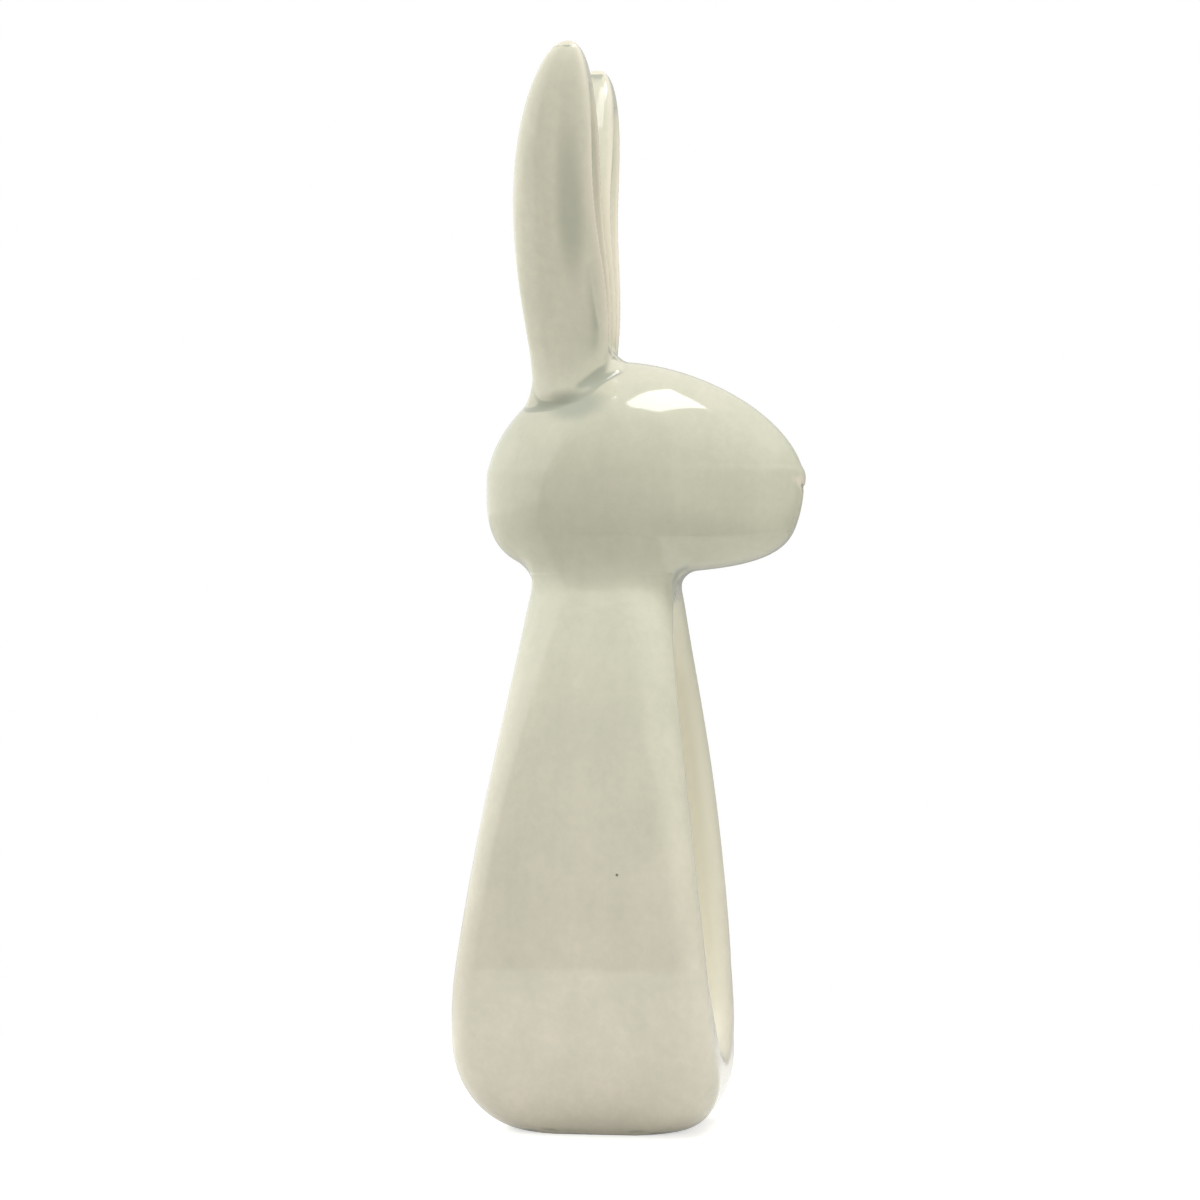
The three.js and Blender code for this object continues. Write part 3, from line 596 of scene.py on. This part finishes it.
def sponged_bisque(name):
    material = bpy.data.materials.new(name)
    material.use_nodes = True
    tree = material.node_tree
    tree.nodes.clear()
    place = add(tree, "TexCoord").outputs["Object"]
    mm = add(tree, "VectorMath", {"Vector": place, "Scale": MM}, operation="SCALE").outputs[0]
    grit = add(tree, "TexNoise", {"Vector": mm, "Scale": 1 / GRIT_MM, "Detail": 3.0, "Roughness": 0.7})
    mixed = {0: grit.outputs[0], 6: linear(BISQUE), 7: linear(BISQUE_GRIT)}
    colour = add(tree, "Mix", mixed, data_type="RGBA")
    bump = add(tree, "Bump", {"Height": grit.outputs[0], "Strength": 0.6, "Distance": GRIT_HEIGHT})
    surface = add(
        tree,
        "BsdfPrincipled",
        {
            "Base Color": colour.outputs[2],
            "Roughness": BISQUE_ROUGHNESS,
            "IOR": BISQUE_IOR,
            "Normal": bump.outputs[0],
        },
    )
    add(tree, "OutputMaterial", {"Surface": surface.outputs[0]})
    return material


def at(u, v, z):
    """A place in the rabbit's own millimetres, as the shaders see it."""
    return (v, loop_axis_y * MM - u, z)


# The loop's glaze: pinholes, each a place, and patches of another tint, here one of painted light.
# Each patch has its middle, its reach along the three axes, the share of that reach where it is full,
# how much of it shows, and its tint.
LEG_PINHOLES = [at(11.1, -39.6, 73.4), at(-5.8, -34.0, 28.0), at(18.0, 38.8, 96.0)]
# Painted light: the inside of the opening is painted a paler cream where the legs shade it.
INSIDE_LOOP_PAINTED_LIGHT = [(at(0.0, 0.0, 83.7), (31.0, 200.0, 70.0), 0.85, 1.0, INSIDE_PAINTED_LIGHT_TINT)]
glaze = dipped_ivory_glaze("ivory_gloss_glaze_dipped_loop", LEG_PINHOLES, INSIDE_LOOP_PAINTED_LIGHT)
loop.data.materials.append(glaze)
loop.data.materials.append(sponged_bisque("earthenware_bisque_sponged_foot"))
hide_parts("body_loop")
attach(loop, "root")


# The ears: two solid castings of the same slip, each an egg-shaped blade that leans out and bows
# back, scooped like a spoon down its front. They are luted to the head on short tenons.
EAR_JOINT_Z = 220.0
EAR_TIP_Z = 300.0
EAR_LEAN = math.radians(14.9)
EAR_ROOT_SPREAD = 5.6
EAR_ROOT_BEND = 10.0
EAR_ROOT_Z = 196.0
EAR_WIDEST_Z = 264.0
EAR_DEEPEST_Z = 240.0
EAR_HALF_DEPTH = 12.8
EAR_HALF_WIDTH = 9.4
EAR_STALK_HALF_WIDTH = 5.2
EAR_STALK_Z = 222.0
EAR_STALK_DRAW_IN = 1.1
EAR_ROOT_FLARE = 9.5
EAR_ROOT_ENDS = (197.0, 206.0)
EAR_ROOT_DEEPENING = 0.3
EAR_ROUNDS_OFF = (205.0, 225.0)
EAR_BOW = 4.6
EAR_ROOT_BOW = 2.2
EAR_BOW_Z = 258.0
EAR_BOW_FOOT_Z = 208.0
EAR_SETBACK = 9.0
TIP_FULLNESS = 2.2
RIM_FULLNESS = 6.0
BACK_FULLNESS = 2.1
SCOOP_TOP_Z = 289.0
SCOOP_FOOT_Z = 215.0
SCOOP_DEPTH = 7.0
SCOOP_RIM = 2.0
SCOOP_MOUTH = 2.0
SCOOP_ROUNDNESS = 0.6
SCOOP_END_SHARE = 0.35
SCOOP_LEAST = (0.5, 0.3)
RIM_ROLL = 1.4
BACK_TO_RIM = 3.0
LEAST_SIZE = 0.05
EAR_SPACE = ((-24, 0.5, 217), (7, 36.0, 302))
EAR_MESH_STEP = 0.55


def root_growth(z):
    low, high = EAR_ROOT_ENDS
    growth = EAR_ROOT_FLARE * np.clip((EAR_JOINT_Z - z) / (EAR_JOINT_Z - EAR_ROOT_Z), 0.0, 1.0) ** 2
    return growth * ease((z - low) / (high - low))


def ear_half_depth(z):
    climb = np.clip((z - EAR_DEEPEST_Z) / (EAR_TIP_Z - EAR_DEEPEST_Z), 0.0, 1.0)
    upper = EAR_HALF_DEPTH * oval(climb, TIP_FULLNESS)
    drawn = np.clip((EAR_DEEPEST_Z - z) / (EAR_DEEPEST_Z - EAR_JOINT_Z), 0.0, None) ** 2
    deep = upper - EAR_STALK_DRAW_IN * drawn + EAR_ROOT_DEEPENING * root_growth(z)
    return np.maximum(deep, LEAST_SIZE)


def ear_half_width(z):
    swell = ease((z - EAR_STALK_Z) / (EAR_WIDEST_Z - EAR_STALK_Z))
    stalk = EAR_STALK_HALF_WIDTH + (EAR_HALF_WIDTH - EAR_STALK_HALF_WIDTH) * swell
    tip = oval(np.clip((z - EAR_WIDEST_Z) / (EAR_TIP_Z - EAR_WIDEST_Z), 0.0, 1.0), TIP_FULLNESS)
    return np.maximum(stalk * tip + root_growth(z), LEAST_SIZE)


def ear_back(z):
    upper = EAR_BOW * np.clip((z - EAR_BOW_Z) / (EAR_TIP_Z - EAR_BOW_Z), 0.0, None) ** 2
    lower = EAR_ROOT_BOW * ease((EAR_BOW_Z - z) / (EAR_BOW_Z - EAR_BOW_FOOT_Z))
    return EAR_SETBACK - upper - lower


def ear_out(z):
    above = z - EAR_JOINT_Z
    return EAR_ROOT_SPREAD + math.tan(EAR_LEAN) * (above + np.hypot(above, EAR_ROOT_BEND)) / 2


def blade_form(side, u, v, z):
    deep, wide = ear_half_depth(z), ear_half_width(z)
    fore = u + ear_back(z)
    aside = v * side - ear_out(z)
    low, high = EAR_ROUNDS_OFF
    square = ease(0.5 + fore / BACK_TO_RIM) * ease((z - low) / (high - low))
    full = BACK_FULLNESS + (RIM_FULLNESS - BACK_FULLNESS) * square
    a = np.maximum(np.abs(fore) / deep, 1e-6)
    b = np.maximum(np.abs(aside) / wide, 1e-6)
    size = (a**full + b**full) ** (1.0 / full)
    by_a = (a / size) ** (full - 1.0)
    by_b = (b / size) ** (full - 1.0)
    climb = by_a * (np.sign(fore) * rate(ear_back, z) - a * rate(ear_half_depth, z)) / deep
    climb = climb - by_b * (np.sign(aside) * rate(ear_out, z) + b * rate(ear_half_width, z)) / wide
    steep = np.sqrt((by_a / deep) ** 2 + (by_b / wide) ** 2 + climb**2)
    return np.maximum((size - 1.0) / steep, np.maximum(z - EAR_TIP_Z, EAR_ROOT_Z - z))


def scoop_form(side, u, v, z):
    share = np.clip((z - SCOOP_FOOT_Z) / (SCOOP_TOP_Z - SCOOP_FOOT_Z), 0.0, 1.0)
    fade = np.sin(share * math.pi) ** SCOOP_ROUNDNESS
    held = np.maximum(z, EAR_JOINT_Z)
    least_half, least_depth = SCOOP_LEAST
    open_share = SCOOP_END_SHARE + (1.0 - SCOOP_END_SHARE) * fade
    half = np.maximum(least_half, (ear_half_width(held) - SCOOP_RIM) * open_share)
    depth = np.maximum(SCOOP_DEPTH * fade, least_depth)
    front = ear_half_depth(held) - ear_back(held) + RIM_ROLL * (1.0 - fade)
    run = np.where(u < front, depth, SCOOP_MOUTH)
    back = np.where(u < front, front - u, np.maximum(u - front - SCOOP_MOUTH, 0.0)) / run
    aside = (v * side - ear_out(z)) / half
    size = np.maximum(np.hypot(back, aside), 1e-6)
    steep = np.hypot(back / run, aside / half) / size
    ends = np.maximum(SCOOP_FOOT_Z - z, z - SCOOP_TOP_Z)
    return np.maximum((size - 1.0) / np.maximum(steep, 1e-6), ends)


def ear_form(side):
    def form(u, v, z):
        return rolled_cut(blade_form(side, u, v, z), -scoop_form(side, u, v, z), RIM_ROLL)

    return form


ears = []
for side, node in ((-1, "ear_right"), (1, "ear_left")):
    (back, inner, under), (front, outer, over) = EAR_SPACE
    inner, outer = sorted((side * inner, side * outer))
    space = (back, inner, under), (front, outer, over)
    ear = cast_piece("glazed_" + node, ear_form(side), *space, EAR_MESH_STEP, floor_z=EAR_JOINT_Z)
    # A darker grey-green band down the middle of each ear's outer face: painted shade, in the pooled
    # glaze's tint.
    run = [(at(-4.2, side * 22.0, 259.0), (14.0, 5.2, 38.0), 0.3, 0.55, POOLED_GLAZE_AND_PAINTED_SHADE)]
    ear.data.materials.append(dipped_ivory_glaze("ivory_gloss_glaze_dipped_" + node, (), run))
    ears.append(ear)
    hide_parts(node)
    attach(ear, "root")


# The head: a hollow casting with the muzzle and the stumps of neck and ears, luted on last. Slip
# is worked into every joint and sponged to a fillet, so that under the glaze no seam shows.
EAR_JOIN_RADIUS = 5.5
EAR_JOIN_SIDE_RADIUS = 1.8
EAR_JOIN_NARROWS = (7.0, 13.0)
EAR_JOIN_ENDS = (197.0, 203.0)
NOSE_Z = 181.3
NOSE_LENGTH = 2.45
NOSE_HALF_WIDTH = 4.2
NOSE_HALF_HEIGHT = 3.2
NOSE_SEAT = 2.3
NOSE_FILLET = 0.8
LIP_GROOVE_RADIUS = 1.0
LIP_GROOVE_HALF_WIDTH = 4.0
LIP_SETBACK = 3.0
LIP_REACH = 2.0
LIP_CORNER_RISE = 2.5
LIP_DIP = 3.0
LIP_ROLL = 0.5
CLEFT_LENGTH = 9.0
CLEFT_RADIUS = 0.8
CLEFT_DEPTH = 0.6
CLEFT_TILT = 0.14
HEAD_SPACE = ((-35, -28, 151), (61, 28, 223))
HEAD_MESH_STEP = 0.65


def nose_form(u, v, z):
    fore = (u - (HEAD_AXIS_FORWARD + HEAD_FRONT - NOSE_SEAT)) / NOSE_LENGTH
    aside = v / NOSE_HALF_WIDTH
    rise = (z - NOSE_Z) / NOSE_HALF_HEIGHT
    size = np.sqrt(fore**2 + aside**2 + rise**2) + 1e-6
    slopes = (fore / NOSE_LENGTH, aside / NOSE_HALF_WIDTH, rise / NOSE_HALF_HEIGHT)
    steep = np.sqrt(sum(part**2 for part in slopes))
    return (size - 1.0) * size / (steep + 1e-6)


def lip_form(u, v, z):
    front = HEAD_AXIS_FORWARD + HEAD_FRONT
    under = NOSE_Z - NOSE_HALF_HEIGHT
    t = np.clip(0.5 + v / (2 * LIP_GROOVE_HALF_WIDTH), 0.0, 1.0)
    ends, middle = (1 - t) ** 2 + t**2, 2 * t * (1 - t)
    line_u = front - LIP_SETBACK * ends + LIP_REACH * middle
    line_z = under + LIP_CORNER_RISE * ends - LIP_DIP * middle
    past = np.maximum(np.abs(v) - LIP_GROOVE_HALF_WIDTH, 0.0)
    groove = np.sqrt((u - line_u) ** 2 + (z - line_z) ** 2 + past**2) - LIP_GROOVE_RADIUS
    down = np.clip(under - z, 0.0, CLEFT_LENGTH)
    cleft_u = front - CLEFT_DEPTH + CLEFT_TILT * (CLEFT_LENGTH / 2 - down)
    cleft = np.sqrt((u - cleft_u) ** 2 + v**2 + (z - under + down) ** 2) - CLEFT_RADIUS
    return np.minimum(groove, cleft)


def head_form(u, v, z):
    head = filleted(luted_neck(u, v, z), nose_form(u, v, z), NOSE_FILLET)
    head = rolled_cut(head, -lip_form(u, v, z), LIP_ROLL)
    low, high = EAR_JOIN_NARROWS
    beside = ease((np.abs(v) - low) / (high - low))
    luting = EAR_JOIN_RADIUS + (EAR_JOIN_SIDE_RADIUS - EAR_JOIN_RADIUS) * beside
    low, high = EAR_JOIN_ENDS
    luting = LEAST_JOIN + luting * ease((z - low) / (high - low))
    for side in (-1, 1):
        head = filleted(head, blade_form(side, u, v, z), luting)
    for side in (-1, 1):
        head = rolled_cut(head, -scoop_form(side, u, v, z), RIM_ROLL)
    return head


head = cast_piece("glazed_head", head_form, *HEAD_SPACE, HEAD_MESH_STEP, NECK_Z, EAR_JOINT_Z)
HEAD_PINHOLES = [at(-20.3, -21.5, 178.1), at(20.0, 25.5, 190.0)]
# Under each ear's root the head is painted darker grey-green below the crease: partly pooled glaze,
# partly painted shade.
EAR_ROOT_POOLS_AND_PAINTED_SHADE = [
    (at(-3.5, side * 16.0, 201.0), (9.0, 12.0, 6.5), 0.3, 1.0, POOLED_GLAZE_AND_PAINTED_SHADE) for side in (-1, 1)
]
glaze = dipped_ivory_glaze("ivory_gloss_glaze_dipped_head", HEAD_PINHOLES, EAR_ROOT_POOLS_AND_PAINTED_SHADE)
head.data.materials.append(glaze)
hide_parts("head")
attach(head, "root")


# The studio: a white paper floor under a white surround. The paper keeps the rabbit's shadow near
# it and burns out to white further off, and the glaze sees it less bright than the camera does.
PAPER_WHITE = "DADAD8"
FLOOR_SIZE = 8.0
FLOOR_LIFT = 0.6
FLOOR_FADES = (0.08, 0.3)
FLOOR_IN_GLAZE = (0.28, 0.6)
SURROUND_LEVEL = 0.51

floor_mesh = bpy.data.meshes.new("paper_floor")
half = FLOOR_SIZE / 2
corners = [(x * half, y * half, 0) for x, y in ((-1, -1), (1, -1), (1, 1), (-1, 1))]
floor_mesh.from_pydata(corners, [], [(0, 1, 2, 3)])
floor = bpy.data.objects.new("paper_floor", floor_mesh)
bpy.context.scene.collection.objects.link(floor)


def seen_directly(tree):
    path = add(tree, "LightPath").outputs
    seen = path["Is Camera Ray"]
    for ray in ("Is Glossy Ray", "Is Transmission Ray"):
        seen = add(tree, "Math", {0: seen, 1: path[ray]}, operation="MAXIMUM").outputs[0]
    return seen


paper = bpy.data.materials.new("white_paper_matt")
paper.use_nodes = True
tree = paper.node_tree
tree.nodes.clear()
matt = add(tree, "BsdfDiffuse", {"Color": linear(PAPER_WHITE)})
in_glaze = add(tree, "LightPath").outputs["Is Glossy Ray"]
near, far = FLOOR_IN_GLAZE
lift = add(tree, "MapRange", {"Value": in_glaze, "To Min": FLOOR_LIFT, "To Max": near}).outputs[0]
lift = add(tree, "Math", {0: seen_directly(tree), 1: lift}, operation="MULTIPLY")
glow = add(tree, "Emission", {"Color": linear("FFFFFF"), "Strength": lift.outputs[0]})
both = add(tree, "AddShader", {0: matt.outputs[0], 1: glow.outputs[0]})
place = add(tree, "TexCoord").outputs["Object"]
away = add(tree, "VectorMath", {0: place}, operation="LENGTH").outputs["Value"]
low, high = FLOOR_FADES
fade = {"Value": away, "From Min": low, "From Max": high}
burnt = add(tree, "MapRange", fade, interpolation_type="SMOOTHSTEP").outputs[0]
burnt = add(tree, "Math", {0: burnt, 1: seen_directly(tree)}, operation="MULTIPLY")
full = add(tree, "MapRange", {"Value": in_glaze, "To Min": 1.0, "To Max": far}).outputs[0]
white = add(tree, "Emission", {"Color": linear("FFFFFF"), "Strength": full})
shown = add(tree, "MixShader", {0: burnt.outputs[0], 1: both.outputs[0], 2: white.outputs[0]})
add(tree, "OutputMaterial", {"Surface": shown.outputs[0]})
floor_mesh.materials.append(paper)

world = bpy.data.worlds.new("white_surround")
world.use_nodes = True
bpy.context.scene.world = world
tree = world.node_tree
tree.nodes.clear()
shown = add(tree, "Background", {"Color": linear("FFFFFF"), "Strength": 1.0})
lighting = add(tree, "Background", {"Color": linear("FFFFFF"), "Strength": SURROUND_LEVEL})
pick = add(tree, "MixShader", {0: seen_directly(tree), 1: lighting.outputs[0], 2: shown.outputs[0]})
add(tree, "OutputWorld", {"Surface": pick.outputs[0]})

# The lamps: each is a flat diffuser with a place, a size, a level where 1 is white, and whether the
# glaze shows it. The strip gives the ears' tips their bright bars, and lights nothing else.
TARGET = (0.0, 0.0, 0.15)
LAMPS = {
    "window": ((-0.16, -0.24, 1.2), (0.42, 0.26), 8.0, True),
    "window_fill": ((-0.26, -0.32, 1.21), (0.92, 0.42), 4.5, False),
    "strip": ((-0.10, 0.012, 0.48), (0.056, 0.13), 4.0, True),
    "left_wall": ((0.25, 1.1, 0.45), (1.0, 1.0), 4.0, False),
    "right_wall": ((-0.75, -0.85, 0.3), (1.0, 0.8), 1.3, False),
}


def aim(thing, place):
    away = [a - b for a, b in zip(place, TARGET)]
    flat = math.hypot(away[0], away[1])
    thing.location = place
    thing.rotation_euler = (math.atan2(flat, away[2]), 0.0, math.atan2(away[0], -away[1]))


for name, (place, (wide, high), level, shines) in LAMPS.items():
    lamp = bpy.data.lights.new(name, "AREA")
    lamp.shape = "RECTANGLE"
    lamp.size, lamp.size_y = wide, high
    lamp.energy = level * math.pi * wide * high
    holder = bpy.data.objects.new(name, lamp)
    holder.visible_camera = False
    holder.visible_glossy = shines
    if name == "strip":
        holder.visible_diffuse = False
        lit = bpy.data.collections.new("lit_by_strip")
        for ear in ears:
            lit.objects.link(ear)
        holder.light_linking.receiver_collection = lit
    bpy.context.scene.collection.objects.link(holder)
    aim(holder, place)

# The flag: a folded card that only the glaze sees, black on the camera's side and paler beyond the
# rabbit's face. It stands on the white floor, and its top fades so that it leaves no line there.
FLAG_PLAN = [(-0.14, 0.15), (-0.14, -0.22), (-0.02, -0.40), (0.18, -0.40), (0.44, -0.22), (0.50, 0.10)]
FLAG_TOP = 0.6
FLAG_FADE_FROM = 0.22
FLAG_LEVEL = 0.03
FLAG_PALES = (0.18, 0.40)
FLAG_FAR_LEVEL = 0.4

flag_mesh = bpy.data.meshes.new("black_flag")
spots = [(x, y, z) for z in (0.0, FLAG_TOP) for x, y in FLAG_PLAN]
folds = len(FLAG_PLAN)
flag_mesh.from_pydata(spots, [], [(i, i + 1, i + 1 + folds, i + folds) for i in range(folds - 1)])
flag = bpy.data.objects.new("black_flag", flag_mesh)
bpy.context.scene.collection.objects.link(flag)
flag.visible_camera = False
flag.visible_diffuse = False
flag.visible_transmission = False
flag.visible_shadow = False
felt = bpy.data.materials.new("black_felt_card")
felt.use_nodes = True
tree = felt.node_tree
tree.nodes.clear()
place = add(tree, "TexCoord").outputs["Object"]
across, _, up = add(tree, "SeparateXYZ", {0: place}).outputs
low, high = FLAG_PALES
paler_with = ((up, FLAG_FADE_FROM, FLAG_TOP, 1.0), (across, low, high, FLAG_FAR_LEVEL))
level = 0.0
for value, start, end, most in paler_with:
    ramp = {"Value": value, "From Min": start, "From Max": end, "To Min": FLAG_LEVEL, "To Max": most}
    paler = add(tree, "MapRange", ramp, interpolation_type="SMOOTHSTEP").outputs[0]
    level = add(tree, "Math", {0: paler, 1: level}, operation="MAXIMUM").outputs[0]
dim = add(tree, "Emission", {"Color": linear("FFFFFF"), "Strength": level})
add(tree, "OutputMaterial", {"Surface": dim.outputs[0]})
flag_mesh.materials.append(felt)
